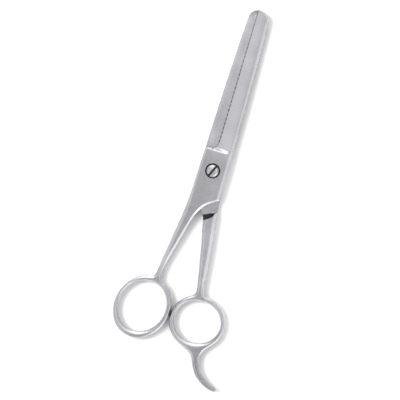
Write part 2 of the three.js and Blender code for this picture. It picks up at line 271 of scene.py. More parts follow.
# Where the plate starts to step down to the blade, and the two edges of the wall that ends the inner face.
STEP_START = [(-7, 9.45), (-4.1, 9.4), (-2.7, 9.4), (-1.4, 9.5), (0.6, 9.45), (3.2, 9.35), (5.6, 9.3),
              (8, 9.3)]
WALL_START = [(3, -22.8), (-1.5, -21.1), (-4, -19.95), (-6.3, -18.95), (-7.1, -18.7), (-9, -18.3),
              (-12, -17.7)]
WALL_END = [(3, -27), (-1.2, -24.5), (-2.5, -23.7), (-4, -22.9), (-5.2, -22.0), (-6.1, -21.1),
            (-6.6, -20.2), (-6.9, -19.3), (-7.4, -18.7), (-9, -18.4), (-12, -17.8)]


# ---------------------------------------------------------------------------
# Curves
# ---------------------------------------------------------------------------
def spline(points, step=STEP):
    """A Catmull-Rom curve through the points, in steps of about step."""
    pts = np.array(points, float)
    padded = np.vstack([2 * pts[0] - pts[1], pts, 2 * pts[-1] - pts[-2]])
    out = []
    for a, b, c, d in zip(padded, padded[1:], padded[2:], padded[3:]):
        count = max(1, int(np.ceil(np.linalg.norm(c - b) / step)))
        t = np.linspace(0, 1, count, endpoint=False)[:, None]
        cubic = 2 * b + (c - a) * t + (2 * a - 5 * b + 4 * c - d) * t**2 + (3 * b - a - 3 * c + d) * t**3
        out.append(cubic / 2)
    return np.vstack(out + [pts[-1:]])


def oval(shape, start, end):
    """Points of a leaning ellipse between two angles in degrees, the way angles grow."""
    across, along = shape["axes"]
    count = int(np.ceil(np.radians(end - start) * along / STEP))
    lean = math.radians(shape["lean"])
    t = np.radians(np.linspace(start, end, count)) - lean
    x, y = across * np.cos(t), along * np.sin(t)
    cos, sin = math.cos(lean), math.sin(lean)
    return np.column_stack([x * cos - y * sin, x * sin + y * cos]) + np.array(shape["centre"])


def circle(radius):
    around = np.linspace(0, 2 * math.pi, BORE_SIDES, endpoint=False)
    return radius * np.column_stack([np.cos(around), np.sin(around)])


def comb_edge(half, y_top):
    """The cutting side of the comb from the nose down: teeth between round-rooted slots."""
    radius = SLOT_WIDTH / 2
    root_x = SLOT_ROOT_X - radius
    arc = np.radians(np.linspace(90, -90, 9))
    back, beside = TOOTH_CORNER
    out = [(half["edge_x"](y_top), y_top)]
    for i in reversed(range(SLOT_COUNT)):
        y = SLOT_FIRST_Y + i * SLOT_PITCH
        tip = half["edge_x"](y)
        upper = [(x, y + radius) for x in np.arange(tip + FLANK_INSETS[0], root_x - FLANK_INSETS[1], STEP)]
        root = [(root_x + radius * math.cos(a), y + radius * math.sin(a)) for a in arc]
        lower = [(x, y - radius) for x, _ in reversed(upper)]
        out += [(tip, y + radius + TOOTH_TIP_INSET), (tip + back, y + radius + beside)]
        out += upper + root + lower
        out += [(tip + back, y - radius - beside)]
    return np.array(out)


def outline(half):
    """The outer loop of a half as (points, label of each point)."""
    centre, width = half["nose"]
    back_y = np.arange(half["inner"][-1][1] + STEP, NOSE_Y, STEP)
    back = np.column_stack([half["back_x"](back_y), back_y])
    edge_top = half["edge_x"](NOSE_END_Y)
    last = math.acos((edge_top - centre) / width)
    t = np.linspace(0, last, int(width * last / STEP * NOSE_DENSITY))
    nose = np.column_stack([centre + width * np.cos(t), NOSE_Y + NOSE_LENGTH * np.sin(t)])
    blend = np.clip((nose[:, 0] - centre) / width, 0, 1)[:, None]
    nose[:, 0:1] += blend**NOSE_BLEND * (half["back_x"](NOSE_Y) - centre - width)
    if half["comb"]:
        edge = comb_edge(half, nose[-1][1] - STEP)
    else:
        edge_y = np.arange(nose[-1][1] - STEP, SHOULDER_Y + 0.05, -STEP)
        edge = np.column_stack([half["edge_x"](edge_y) - flare(edge_y), edge_y])
    front = spline([tuple(edge[-1])] + half["front"])[1:]
    side = spline(half["side"])[1:]
    arcs = [oval(half["ring"], *arc) for arc in half["ring_arcs"]]
    parts = [("back", back), ("back", nose), ("edge", edge), ("front", front), ("side", side)]
    parts += [("ring", arcs[0])]
    if half["rest"]:
        rest = spline([tuple(arcs[0][-1])] + half["rest"] + [tuple(arcs[1][0])])[1:-1]
        parts += [("rest", rest), ("ring", arcs[1])]
    parts += [("inner", spline([tuple(arcs[-1][-1])] + half["inner"])[1:])]
    points = np.vstack([p for _, p in parts])
    labels = np.concatenate([[name] * len(p) for name, p in parts])
    keep = np.linalg.norm(points - np.roll(points, 1, axis=0), axis=1) > MIN_SPACING
    return points[keep], labels[keep]


def seam():
    """The plain half's edge and front where they lie over the comb half, in the comb half's own frame."""
    loop, labels = outline(PLAIN)
    return loop[np.isin(labels, ("edge", "front"))] * (-1, 1)


# ---------------------------------------------------------------------------
# Distances
# ---------------------------------------------------------------------------
def dense(loop, closed=True):
    """The loop's polygon with extra points, so that nearest points measure distance well."""
    ends = np.roll(loop, -1, axis=0) if closed else loop[1:]
    starts = loop if closed else loop[:-1]
    out = []
    for a, b in zip(starts, ends):
        count = max(1, int(np.ceil(np.linalg.norm(b - a) / DENSE_STEP)))
        out.append(a + (b - a) * np.linspace(0, 1, count, endpoint=False)[:, None])
    return np.vstack(out)


def tree_of(points):
    """The points, ready to be searched for the nearest one."""
    tree = KDTree(len(points))
    for i, (x, y) in enumerate(points):
        tree.insert((x, y, 0), i)
    tree.balance()
    return tree


def distances(tree, points):
    """Distance from each point to the nearest one in the tree."""
    return np.array([tree.find((x, y, 0))[2] for x, y in points])


def signed_side(curve, points):
    """Distance to an open curve, positive on its left."""
    fine = spline(curve, WALL_SAMPLE_STEP)
    tree = tree_of(fine)
    out = np.empty(len(points))
    for n, (x, y) in enumerate(points):
        _, i, d = tree.find((x, y, 0))
        j = min(max(i, 1), len(fine) - 2)
        along = fine[j + 1] - fine[j - 1]
        cross = along[0] * (y - fine[j][1]) - along[1] * (x - fine[j][0])
        out[n] = d if cross > 0 else -d
    return out


def smin(a, b, soft):
    """The smaller of two values, with the corner between them rounded over the width soft."""
    h = np.clip(soft - np.abs(a - b), 0, None) / soft
    return np.minimum(a, b) - h * h * soft / 4


def ease(value, start, end):
    """Runs smoothly from 0 at start to 1 at end."""
    t = np.clip((value - start) / (end - start), 0, 1)
    return t * t * (3 - 2 * t)


# ---------------------------------------------------------------------------
# Heights of a half's outer and inner faces
# ---------------------------------------------------------------------------
def flank_height(d, flank, chamfer, slope, top):
    """Height at distance d from one side of a chamfered bar: a steep flank, then a chamfer."""
    knee = top - chamfer * slope
    steep = PARTING + (knee - PARTING) / flank * d
    gentle = knee + slope * (d - flank)
    return smin(steep, gentle, KNEE_SOFT)


def rounded(d, radius, top):
    """Height at distance d from one side of a round bar: a short upright flank, then an arc."""
    t = 1 - np.clip(d / radius, 0, 1)
    arc = BAR_FLANK + (1 - BAR_FLANK) * np.sqrt(1 - t * t)
    return PARTING + (top - PARTING) * np.minimum(arc, BAR_FLANK + np.maximum(d, 0) * BAR_FLANK_SLOPE)


def bar_height(half, x, y, near, top):
    """Height over the middle plane of a chamfered bar that turns into a round one towards the ring."""
    inner_flank = INNER_FLANK[0] + (INNER_FLANK[1] - INNER_FLANK[0]) * ease(y, *INNER_FLANK_Y)
    wide, narrow = OUTER_CHAMFER
    chamfer = wide + (narrow - wide) * ease(y, *OUTER_CHAMFER_Y) * ease(-x, *OUTER_CHAMFER_X)
    outer = flank_height(near["outer"], OUTER_FLANK, chamfer, OUTER_SLOPE, top)
    inner = flank_height(near["inner"], inner_flank, INNER_CHAMFER, INNER_SLOPE, top)
    flat = smin(smin(outer, inner, TOP_SOFT), top, TOP_SOFT)
    hole = hole_height(half, x, y, near, top)
    oval_bar = smin(rounded(near["body"], BAR_ROUND, top), hole, BAR_SOFT)
    roundness = ease(y, *BAR_ROUND_Y)
    return flat * (1 - roundness) + oval_bar * roundness


def hole_height(half, x, y, near, top):
    """Height beside the finger hole: a steep chamfer that turns round towards the foot of the hole."""
    to_right = (x - half["hole"]["centre"][0]) * (-1 if half["comb"] else 1)
    low = ease(y, *HOLE_LOW_Y) * (1 - HOLE_LOW_LOSS * ease(to_right, *HOLE_LOW_LOSS_SPAN))
    steep = smin(flank_height(near["hole"], HOLE_FLANK, HOLE_CHAMFER, HOLE_SLOPE, top), top, HOLE_SOFT)
    return steep * (1 - low) + rounded(near["hole"], HOLE_ROUND, top) * low


def blade_height(half, x, y, near):
    """Outer face of a blade: a convex slope from a thin edge to a ridge, then a bevel to the back."""
    along = np.clip((y - SHOULDER_Y) / (BLADE_END_Y - SHOULDER_Y), 0, 1)
    thick = (HALF_THICK - BLADE_BELOW_PLATE) * (1 - along) + TIP_THICK * along
    edge = half["edge_x"](y)
    ridge = half["back_x"](y) - BEVEL_WIDTH
    shelf = EDGE_THICK + EDGE_RISE
    t = (x - edge - EDGE_WIDTH) / (ridge - edge - EDGE_WIDTH)
    slope = shelf + (thick - shelf) * t + 4 * BLADE_CROWN * t * (1 - t)
    edge_rise = EDGE_THICK + EDGE_RISE / EDGE_WIDTH * near["edge"]
    bevel_width = BEVEL_WIDTH - NOSE_BEVEL_LOSS * ease(y, *NOSE_BEVEL_Y)
    bevel = thick * BACK_SHARE + thick * (1 - BACK_SHARE) / bevel_width * near["back"]
    foot = BACK_FOOT_SHARE * thick + BACK_STEEPNESS * near["back"]
    ground = smin(smin(slope, edge_rise, EDGE_SOFT), bevel, BEVEL_SOFT)
    return INNER_Z + smin(ground, foot, BACK_SOFT)


def outer_height(half, p, near):
    """The outer face: plate, shank and ring, the step or lip down to the blade, and the counterbore."""
    x, y = p.T
    top = OUTER_Z + (SHANK_TOP - OUTER_Z) * ease(y, *SHANK_THIN_Y)
    crown = PLATE_CROWN * (np.clip(y - CROWN_FLAT_Y, 0, None) / (SHOULDER_Y - CROWN_FLAT_Y)) ** 2
    plate = bar_height(half, x, y, near, top - crown)
    blade = np.where(y > BLADE_START_Y, blade_height(half, x, y, near), plate)
    start = spline(STEP_START, RAMP_SAMPLE_STEP)
    start_y = np.interp(x, start[:, 0], start[:, 1])
    down = ease(y - start_y, 0, RAMP_WIDTH)
    step = plate * (1 - down) + blade * down
    beside = ease(-x, *LIP_X)
    lip = plate - LIP_SLOPE * np.clip(y - start_y, 0, LIP_LENGTH)
    z = np.minimum(step * (1 - beside) + lip * beside, OUTER_Z)
    if half["comb"]:
        return z
    bore = np.hypot(x, y)
    z = smin(z, OUTER_Z - RIM_SLOPE * (COUNTERBORE_RADIUS + RIM_WIDTH - bore), RIM_SOFT)
    return np.where(bore < COUNTERBORE_RADIUS - 0.001, COUNTERBORE_FLOOR, z)


def inner_height(half, p, near):
    """The inner face: flat round the pivot, hollow along the blade, ended by a wall above the shank."""
    x, y = p.T
    low = -bar_height(half, x, y, near, INNER_DEPTH + (SHANK_TOP - INNER_DEPTH) * ease(y, *SHANK_THIN_Y))
    start = signed_side(WALL_START, p)
    end = signed_side(WALL_END, p)
    into = np.clip(start / np.maximum(start - end, 1e-3), 0, 1)
    wall = np.where(start <= 0, 0.0, np.where(end >= 0, NO_FACE_DEPTH, WALL_DEPTH * into))
    face = INNER_Z - wall
    across = np.clip(near["back"] / HOLLOW_WIDTH, 0, 1) ** HOLLOW_SKEW
    hollow = HOLLOW_DEPTH * ease(y, *HOLLOW_Y) * np.sin(across * math.pi) ** 2
    return np.maximum(low, face + hollow)


# ---------------------------------------------------------------------------
# Meshes
# ---------------------------------------------------------------------------
def inward_rows(loop, tree):
    """Rows of points parallel to a loop, on its left, at growing depths into the material."""
    ahead = np.roll(loop, -1, axis=0) - loop
    behind = loop - np.roll(loop, 1, axis=0)
    tangent = ahead / np.linalg.norm(ahead, axis=1)[:, None]
    tangent += behind / np.linalg.norm(behind, axis=1)[:, None]
    tangent /= np.maximum(np.linalg.norm(tangent, axis=1), 1e-9)[:, None]
    inward = np.column_stack([-tangent[:, 1], tangent[:, 0]])
    rows = []
    for depth in ROW_DEPTHS:
        row = loop + inward * depth
        keep = distances(tree, row) > depth * 0.97 - 0.004
        rows.append([tuple(p) if good else None for p, good in zip(row, keep)])
    return rows


class Sieve:
    """Keeps points that stay a given distance from those already kept."""

    CELL = 0.3

    def __init__(self):
        self.cells = {}
        self.kept = []

    def add(self, point, gap):
        """Keeps the point if it is clear of the others, and returns its index or None."""
        cx, cy = int(point[0] // self.CELL), int(point[1] // self.CELL)
        for i in (cx - 1, cx, cx + 1):
            for j in (cy - 1, cy, cy + 1):
                for q in self.cells.get((i, j), ()):
                    if (q[0] - point[0]) ** 2 + (q[1] - point[1]) ** 2 < gap * gap:
                        return None
        self.cells.setdefault((cx, cy), []).append(point)
        self.kept.append(point)
        return len(self.kept) - 1

    def add_line(self, line, gap, closed=False):
        """Adds a line's points, with None for a break, and returns the pairs of kept neighbours."""
        indices = [None if p is None else self.add(tuple(p), gap) for p in line]
        if closed:
            indices.append(indices[0])
        return [(a, b) for a, b in zip(indices, indices[1:]) if a is not None and b is not None]


def feature_lines(half):
    """Lines along the step, the wall, the painted shadow beside the seam and the counterbore, as (line,
    closed).
    """
    out = []
    start = spline(STEP_START, LINE_STEP)
    for offset in np.arange(0, RAMP_WIDTH + 0.05, RAMP_LINE_STEP):
        out.append((start + (0, offset), False))
    start, end = spline(WALL_START, LINE_STEP), spline(WALL_END, LINE_STEP)
    nearest = end[np.argmin(np.abs(end[None, :, 0] - start[:, None, 0]), axis=1)]
    for share in np.linspace(0, 1, WALL_LINES):
        out.append((start + (nearest - start) * share, False))
    if half["comb"]:
        line = seam()
        line = line[line[:, 1] < SEAM_END_Y]
        step = np.gradient(line, axis=0)
        outward = np.column_stack([-step[:, 1], step[:, 0]]) / np.linalg.norm(step, axis=1)[:, None]
        for offset in (0, *SEAM_REACH):
            out.append((line + outward * offset, False))
    for radius in BORE_RINGS:
        out.append((circle(radius), True))
    return out


def triangulate(loops, points, lines):
    """Fills the loops, with the lines among the edges: (coordinates, triangles, indices of each loop)."""
    verts, edges, first = [], [], 0
    for loop in loops:
        verts += [Vector(p) for p in loop]
        edges += [(first + i, first + (i + 1) % len(loop)) for i in range(len(loop))]
        first += len(loop)
    rim_edges = len(edges)
    verts += [Vector(p) for p in points]
    edges += [(a + first, b + first) for a, b in lines]
    out_v, out_e, out_f, orig_v, orig_e, _ = delaunay_2d_cdt(verts, edges, [], 0, 1e-6)
    barrier = {frozenset(e) for e, o in zip(out_e, orig_e) if any(i < rim_edges for i in o)}
    sides = {}
    for f, tri in enumerate(out_f):
        for a, b in zip(tri, tri[1:] + tri[:1]):
            sides.setdefault(frozenset((a, b)), []).append(f)
    on_rim = {v for v, o in enumerate(orig_v) if any(i < first for i in o)}
    inside = {f for f, tri in enumerate(out_f) if any(v not in on_rim for v in tri)}
    queue = list(inside)
    while queue:
        tri = out_f[queue.pop()]
        for a, b in zip(tri, tri[1:] + tri[:1]):
            key = frozenset((a, b))
            for g in sides[key] if key not in barrier else ():
                if g not in inside:
                    inside.add(g)
                    queue.append(g)
    where = {i: v for v, o in enumerate(orig_v) for i in o}
    rims, first = [], 0
    for loop in loops:
        rims.append([where[first + i] for i in range(len(loop))])
        first += len(loop)
    return np.array([tuple(v) for v in out_v]), [out_f[f] for f in sorted(inside)], rims


def fill_points(loops, tree):
    """Staggered rows of points over the inside of the loops, clear of the loops."""
    low, high = loops[0].min(axis=0), loops[0].max(axis=0)
    grid = np.array([(x + (FILL_STEP / 2 if row % 2 else 0), y)
                     for row, y in enumerate(np.arange(low[1], high[1], FILL_ROW_STEP))
                     for x in np.arange(low[0], high[0], FILL_STEP)])
    grid = grid[inside_loops(grid, loops)]
    return grid[distances(tree, grid) > FILL_CLEARANCE]


def inner_points(half, loops):
    """Points inside the loops, and the pairs of them that are joined by an edge along a line."""
    tree = tree_of(np.vstack([dense(loop) for loop in loops]))
    sieve = Sieve()
    for point in np.vstack(loops):
        sieve.add(tuple(point), 0)
    rim = len(sieve.kept)
    lines = []
    for line, closed in feature_lines(half):
        good = inside_loops(line, loops) & (distances(tree, line) > LINE_CLEARANCE)
        lines += sieve.add_line([p if g else None for p, g in zip(line, good)], LINE_GAP, closed)
    for loop in loops[:2]:
        for depth, row in zip(ROW_DEPTHS, inward_rows(loop, tree)):
            lines += sieve.add_line(row, min(0.5 * depth, ROW_GAP), closed=True)
    for point in fill_points(loops, tree):
        sieve.add(tuple(point), FILL_GAP)
    return sieve.kept[rim:], [(a - rim, b - rim) for a, b in lines]


def half_mesh(name, half):
    """A closed mesh of one half, face up."""
    loop, labels = outline(half)
    hole = oval(half["hole"], 0, 360)[:-1][::-1]
    loops = [loop, hole, circle(HOLE_RADIUS)[::-1]]
    p, tris, rims = triangulate(loops, *inner_points(half, loops))
    near = {"body": near_labels(p, loop, labels, ("back", "side", "inner", "ring", "rest"), []),
            "hole": near_labels(p, loop, labels, (), [hole]),
            "outer": near_labels(p, loop, labels, ("back", "side", "ring", "rest"), [hole]),
            "inner": near_labels(p, loop, labels, ("inner",), []),
            "edge": near_labels(p, loop, labels, ("edge",), []),
            "back": near_labels(p, loop, labels, ("back",), [])}
    top, bottom = outer_height(half, p, near), inner_height(half, p, near)
    count = len(p)
    coords = [(x, y, z) for (x, y), z in zip(p, top)] + [(x, y, z) for (x, y), z in zip(p, bottom)]
    faces = [tuple(t) for t in tris] + [(c + count, b + count, a + count) for a, b, c in tris]
    for ring in rims:
        for a, b in zip(ring, ring[1:] + ring[:1]):
            faces.append((a, a + count, b + count, b))
    mesh = bpy.data.meshes.new(name)
    mesh.from_pydata(coords, [], faces)
    return mesh


def near_labels(p, loop, labels, wanted, others):
    """Distance from each point to the parts of the outline with the wanted labels, and to other loops."""
    ends = np.roll(loop, -1, axis=0)
    chosen = np.isin(labels, wanted)
    parts = [dense(np.array([a, b]), closed=False) for a, b, use in zip(loop, ends, chosen) if use]
    return distances(tree_of(np.vstack(parts + [dense(o) for o in others])), p)


def inside_loops(points, loops):
    """Which points lie inside the first loop and outside the others, by counting crossings."""
    x, y = points.T
    crossings = np.zeros(len(points), int)
    for loop in loops:
        for (x0, y0), (x1, y1) in zip(loop, np.roll(loop, -1, axis=0)):
            if y0 == y1:
                continue
            spans = (y0 > y) != (y1 > y)
            crossings += spans & (x < x0 + (y - y0) / (y1 - y0) * (x1 - x0))
    return crossings % 2 == 1


def mark(mesh, name, values):
    """Stores one number per vertex, for the materials."""
    attribute = mesh.attributes.new(name, "FLOAT", "POINT")
    attribute.data.foreach_set("value", np.asarray(values, np.float32))


def smooth(mesh, angle):
    """Shades a mesh smooth, except where faces meet at more than the angle in degrees."""
    mesh.validate()
    mesh.shade_smooth()
    mesh.set_sharp_from_angle(angle=math.radians(angle))


def wall_shade_mask(p):
    """How much each point lies on the wall that ends the inner face, where shade is painted near-black."""
    return ease(signed_side(WALL_START, p), *WALL_SHADE_START) * ease(-signed_side(WALL_END, p), *WALL_SHADE_END)


def mark_half(mesh, half, co):
    """Marks where a half is ground as a blade and brighter, and where shade is painted: towards the ring's
    foot and over the finger rest, near-black on the wall that ends the inner face, and dark in the
    counterbore, beside the plain half's edge and at the rings' contact.
    """
    x, y, z = co.T
    outside = np.arange(len(co)) < len(co) // 2
    blade = ease(y, *BLADE_MARK_Y)
    mark(mesh, "blade", blade)
    polish = blade + ease(y, *SHANK_POLISH_START_Y) * ease(y, *SHANK_POLISH_END_Y)
    # Painted shade: the colour darkens towards the foot of the rings and over the finger rest.
    dull = RING_PAINTED_SHADE * ease(y, *RING_PAINTED_SHADE_Y) + REST_PAINTED_SHADE * ease(y, *REST_PAINTED_SHADE_Y)
    mark(mesh, "tone", 1 + half["polish"] * polish - dull)
    # Painted shade, near-black, on the wall that ends the inner face.
    mark(mesh, "wall_shade", wall_shade_mask(co[:, :2]) * ~outside)
    # Painted shade inside the counterbore, below its rim.
    bore = (np.hypot(x, y) < BORE_SHADE_RADIUS) * (z < BORE_SHADE_TOP_Z)
    # Painted shadow on the comb half's inner face, beside the plain half's edge and front.
    beside_seam = distances(tree_of(dense(seam(), closed=False)), co[:, :2])
    under_edge = (1 - ease(beside_seam, *SEAM_REACH)) * ~outside * half["comb"]
    # Painted shade round the point where the rings touch.
    contact = (1 - ease(np.abs(y - CONTACT_Y), *CONTACT_REACH_Y)) * (1 - ease(-x, *CONTACT_REACH_X))
    # All dark painted shade of the half together: counterbore, shadow beside the plain edge, and the rings'
    # contact.
    painted_shade = np.maximum(np.maximum(bore, SEAM_SHADOW * under_edge), CONTACT_SHADE * contact)
    mark(mesh, "painted_shade", painted_shade)


def place_half(name, half, face_up):
    """One half as an object, in metres, in its place in the closed pair."""
    mesh = half_mesh(name, half)
    co = np.array([v.co for v in mesh.vertices])
    mark_half(mesh, half, co)
    if not face_up:
        co[:, 0] *= -1
        co[:, 2] *= -1
    co[:, 2] += MID_Z
    mesh.vertices.foreach_set("co", (co * MM).astype(np.float32).ravel())
    mesh.update()
    smooth(mesh, HALF_SHARP)
    obj = bpy.data.objects.new(name, mesh)
    bpy.context.scene.collection.objects.link(obj)
    return obj


def lathe(profile, segments):
    """Vertices and faces turned about Z from a profile that starts and ends on the axis."""
    angles = np.linspace(0, 2 * math.pi, segments, endpoint=False)
    verts = [(0, 0, profile[0][1])]
    for r, z in profile[1:-1]:
        verts += [(r * math.cos(a), r * math.sin(a), z) for a in angles]
    verts.append((0, 0, profile[-1][1]))
    faces = []
    rings = len(profile) - 2
    for i in range(segments):
        j = (i + 1) % segments
        faces.append((0, 1 + j, 1 + i))
        for k in range(rings - 1):
            a, b = 1 + k * segments, 1 + (k + 1) * segments
            faces.append((a + i, a + j, b + j, b + i))
        last = 1 + (rings - 1) * segments
        faces.append((last + i, last + j, len(verts) - 1))
    return verts, faces


def mesh_object(name, verts, faces):
    """An object in metres from vertices in millimetres."""
    mesh = bpy.data.meshes.new(name)
    mesh.from_pydata([tuple(c * MM for c in v) for v in verts], [], faces)
    mesh.update()
    obj = bpy.data.objects.new(name, mesh)
    bpy.context.scene.collection.objects.link(obj)
    return obj


def apply_modifiers(obj):
    """Replaces the object's mesh by what its modifiers make of it."""
    graph = bpy.context.evaluated_depsgraph_get()
    mesh = bpy.data.meshes.new_from_object(obj.evaluated_get(graph))
    obj.modifiers.clear()
    obj.data = mesh


def screw_profile():
    """Radius and height from the tail up: chamfer, straight stem, head with a chamfer and a dome."""
    edge = HEAD_TOP_Z - HEAD_DOME
    foot = edge - HEAD_CHAMFER_DROP
    inner = HEAD_RADIUS - HEAD_CHAMFER
    profile = [(0, 0), (PIVOT_RADIUS - TAIL_CHAMFER, 0), (PIVOT_RADIUS, TAIL_CHAMFER),
               (PIVOT_RADIUS, HEAD_BOTTOM_Z), (HEAD_RADIUS - 0.05, HEAD_BOTTOM_Z),
               (HEAD_RADIUS, HEAD_BOTTOM_Z + 0.05), (HEAD_RADIUS, foot - 0.08),
               (HEAD_RADIUS - 0.03, foot - 0.02), (HEAD_RADIUS - 0.08, foot + 0.03),
               (inner + 0.06, edge - 0.05), (inner, edge - 0.01)]
    for share in np.linspace(0.96, 0, 9):
        profile.append((share * inner, HEAD_TOP_Z - HEAD_DOME * share**2))
    return profile


def cut_slot(screw):
    """Cuts the screwdriver slot across the head and rounds its edges."""
    half = HEAD_SLOT_WIDTH / 2
    heights = (HEAD_TOP_Z - HEAD_SLOT_DEPTH, HEAD_TOP_Z + 1)
    box = [(x, y, z) for z in heights for y in (-half, half) for x in (-4, 4)]
    faces = [(0, 2, 3, 1), (4, 5, 7, 6), (0, 1, 5, 4), (2, 6, 7, 3), (0, 4, 6, 2), (1, 3, 7, 5)]
    cutter = mesh_object("slot_cutter", box, faces)
    cutter.rotation_euler.z = HEAD_SLOT_ANGLE
    slot = screw.modifiers.new("slot", "BOOLEAN")
    slot.operation = "DIFFERENCE"
    slot.object = cutter
    slot.solver = "EXACT"
    edges = screw.modifiers.new("edges", "BEVEL")
    edges.width = SLOT_EDGE_ROUND * MM
    edges.segments = 3
    edges.limit_method = "ANGLE"
    edges.angle_limit = SLOT_EDGE_ANGLE
    apply_modifiers(screw)
    bpy.data.objects.remove(cutter)


def pivot_screw():
    """Slotted screw: domed head with a chamfered rim, straight stem, chamfered tail."""
    obj = mesh_object("pivot_screw_turned", *lathe(screw_profile(), HEAD_SIDES))
    cut_slot(obj)
    co = np.array([v.co for v in obj.data.vertices]) / MM
    from_axis = np.abs(co[:, 1] * math.cos(HEAD_SLOT_ANGLE) - co[:, 0] * math.sin(HEAD_SLOT_ANGLE))
    in_slot = (from_axis < HEAD_SLOT_WIDTH / 2 + 0.03) & (co[:, 2] > HEAD_BOTTOM_Z + 0.3)
    # Painted shade, darker deeper down the slot.
    mark(obj.data, "painted_shade", in_slot * (1 - ease(co[:, 2], *SLOT_SHADE_Z)))
    smooth(obj.data, SCREW_SHARP)
    return obj


def friction_washer():
    """Thin flat ring between the screw's head and the floor of the counterbore, with softened edges."""
    low, high = WASHER_BOTTOM_Z, WASHER_BOTTOM_Z + WASHER_THICK
    inner, outer, soft = WASHER_HOLE_RADIUS, WASHER_RADIUS, WASHER_SOFT
    section = [(inner + soft, low), (outer - soft, low), (outer, low + soft), (outer, high - soft),
               (outer - soft, high), (inner + soft, high), (inner, high - soft), (inner, low + soft)]
    angles = np.linspace(0, 2 * math.pi, WASHER_SIDES, endpoint=False)
    verts = [(r * math.cos(a), r * math.sin(a), z) for a in angles for r, z in section]
    size = len(section)
    faces = []
    for i in range(WASHER_SIDES):
        a, b = i * size, (i + 1) % WASHER_SIDES * size
        faces += [(a + k, b + k, b + (k + 1) % size, a + (k + 1) % size) for k in range(size)]
    obj = mesh_object("friction_washer_ring", verts, faces)
    # Painted shade over the whole washer.
    mark(obj.data, "painted_shade", np.full(len(verts), WASHER_SHADE))
    smooth(obj.data, WASHER_SHARP)
    return obj


# ---------------------------------------------------------------------------
# Materials
# ---------------------------------------------------------------------------
STEEL_COLOUR = (0.565, 0.565, 0.59)
STEEL_ROUGHNESS = 0.27
GRAIN_DEPTH = 0.0016 * MM
GRAIN_ACROSS = (120, 5200, 1500)
GRAIN_ALONG = (4200, 110, 1500)
GRAIN_LEAN = math.radians(8)
GRAIN_TONE = (0.985, 1.015)
GRAIN_GLOSS = (-0.03, 0.03)
CLOUD_SCALE = 90.0
CLOUD_TONE = (0.93, 1.07)
SPECK_SCALE = 2600.0
SPECK_SHARE = 0.35
TURNED_COLOUR = (0.64, 0.64, 0.66)
TURNED_ROUGHNESS = 0.3
RING_DEPTH = 0.003 * MM
RINGS_PER_METRE = 9000.0
RING_TONE = (0.98, 1.02)
RING_GLOSS = (-0.02, 0.02)
TURNED_CLOUD_SCALE = 300.0
TURNED_CLOUD_TONE = (0.95, 1.05)
# Near-black painted shade for the wall that ends the inner face.
WALL_SHADE_COLOUR = (0.04, 0.04, 0.045, 1)
# Dark painted shade for the counterbore, the screw slot, the washer, the seam and the rings' contact, and
# the roughness added wherever shade is painted.
PAINTED_SHADE_COLOUR = (0.05, 0.05, 0.055, 1)
SHADE_ROUGHNESS = 0.2
PAPER_COLOUR = (0.78, 0.78, 0.78, 1)


class Nodes:
    """Short calls to add nodes to a material or world and link them."""

    def __init__(self, tree):
        self.tree = tree
        tree.nodes.clear()

    def add(self, kind, inputs=(), **settings):
        node = self.tree.nodes.new(kind)
        for key, value in settings.items():
            setattr(node, key, value)
        for key, value in dict(inputs).items():
            if isinstance(value, bpy.types.NodeSocket):
                self.tree.links.new(value, node.inputs[key])
            else:
                node.inputs[key].default_value = value
        return node

    def math(self, operation, a, b):
        return self.add("ShaderNodeMath", {0: a, 1: b}, operation=operation).outputs[0]

    def attribute(self, name):
        return self.add("ShaderNodeAttribute", attribute_name=name).outputs["Fac"]

    def mapped(self, vector, scale, turn=0.0):
        mapping = self.add("ShaderNodeMapping", {"Vector": vector, "Scale": scale, "Rotation": (0, 0, turn)})
        return mapping.outputs[0]

    def noise(self, vector, scale, detail, roughness=0.6):
        made = self.add("ShaderNodeTexNoise", {"Vector": vector, "Scale": scale, "Detail": detail,
                                               "Roughness": roughness})
        return made.outputs[0]

    def spread(self, value, low, high):
        """Maps noise, which stays near a half, to a range."""
        made = self.add("ShaderNodeMapRange", {"Value": value, "From Min": 0.3, "From Max": 0.7,
                                               "To Min": low, "To Max": high})
        return made.outputs[0]


# The sockets of a mix node share their names, so they go by number: 2 and 3 hold numbers, 6 and 7 colours.
def finish_steel(n, colour, tone, gloss, height, depth):
    """Ends a steel material: where shade is painted, the colour goes dark and the steel rougher."""
    wall_shade = n.attribute("wall_shade")
    painted_shade = n.attribute("painted_shade")
    bright = n.add("ShaderNodeVectorMath", {0: colour, "Scale": tone}, operation="SCALE").outputs[0]
    # Near-black painted shade on the wall that ends the inner face.
    scale = n.add("ShaderNodeMix", {"Factor": wall_shade, 6: bright, 7: WALL_SHADE_COLOUR}, data_type="RGBA")
    # Dark painted shade in the counterbore, the screw slot, the washer, beside the plain edge and at the
    # rings' contact.
    shaded_colour = n.add("ShaderNodeMix", {"Factor": painted_shade, 6: scale.outputs[2], 7: PAINTED_SHADE_COLOUR}, data_type="RGBA")
    dull = n.math("ADD", gloss, n.math("MULTIPLY", n.math("MAXIMUM", wall_shade, painted_shade), SHADE_ROUGHNESS))
    bump = n.add("ShaderNodeBump", {"Height": height, "Distance": depth, "Strength": 1.0})
    shader = n.add("ShaderNodeBsdfPrincipled", {"Base Color": shaded_colour.outputs[2], "Metallic": 1.0,
                                                "Roughness": dull, "Normal": bump.outputs[0]})
    n.add("ShaderNodeOutputMaterial", {"Surface": shader.outputs[0]})


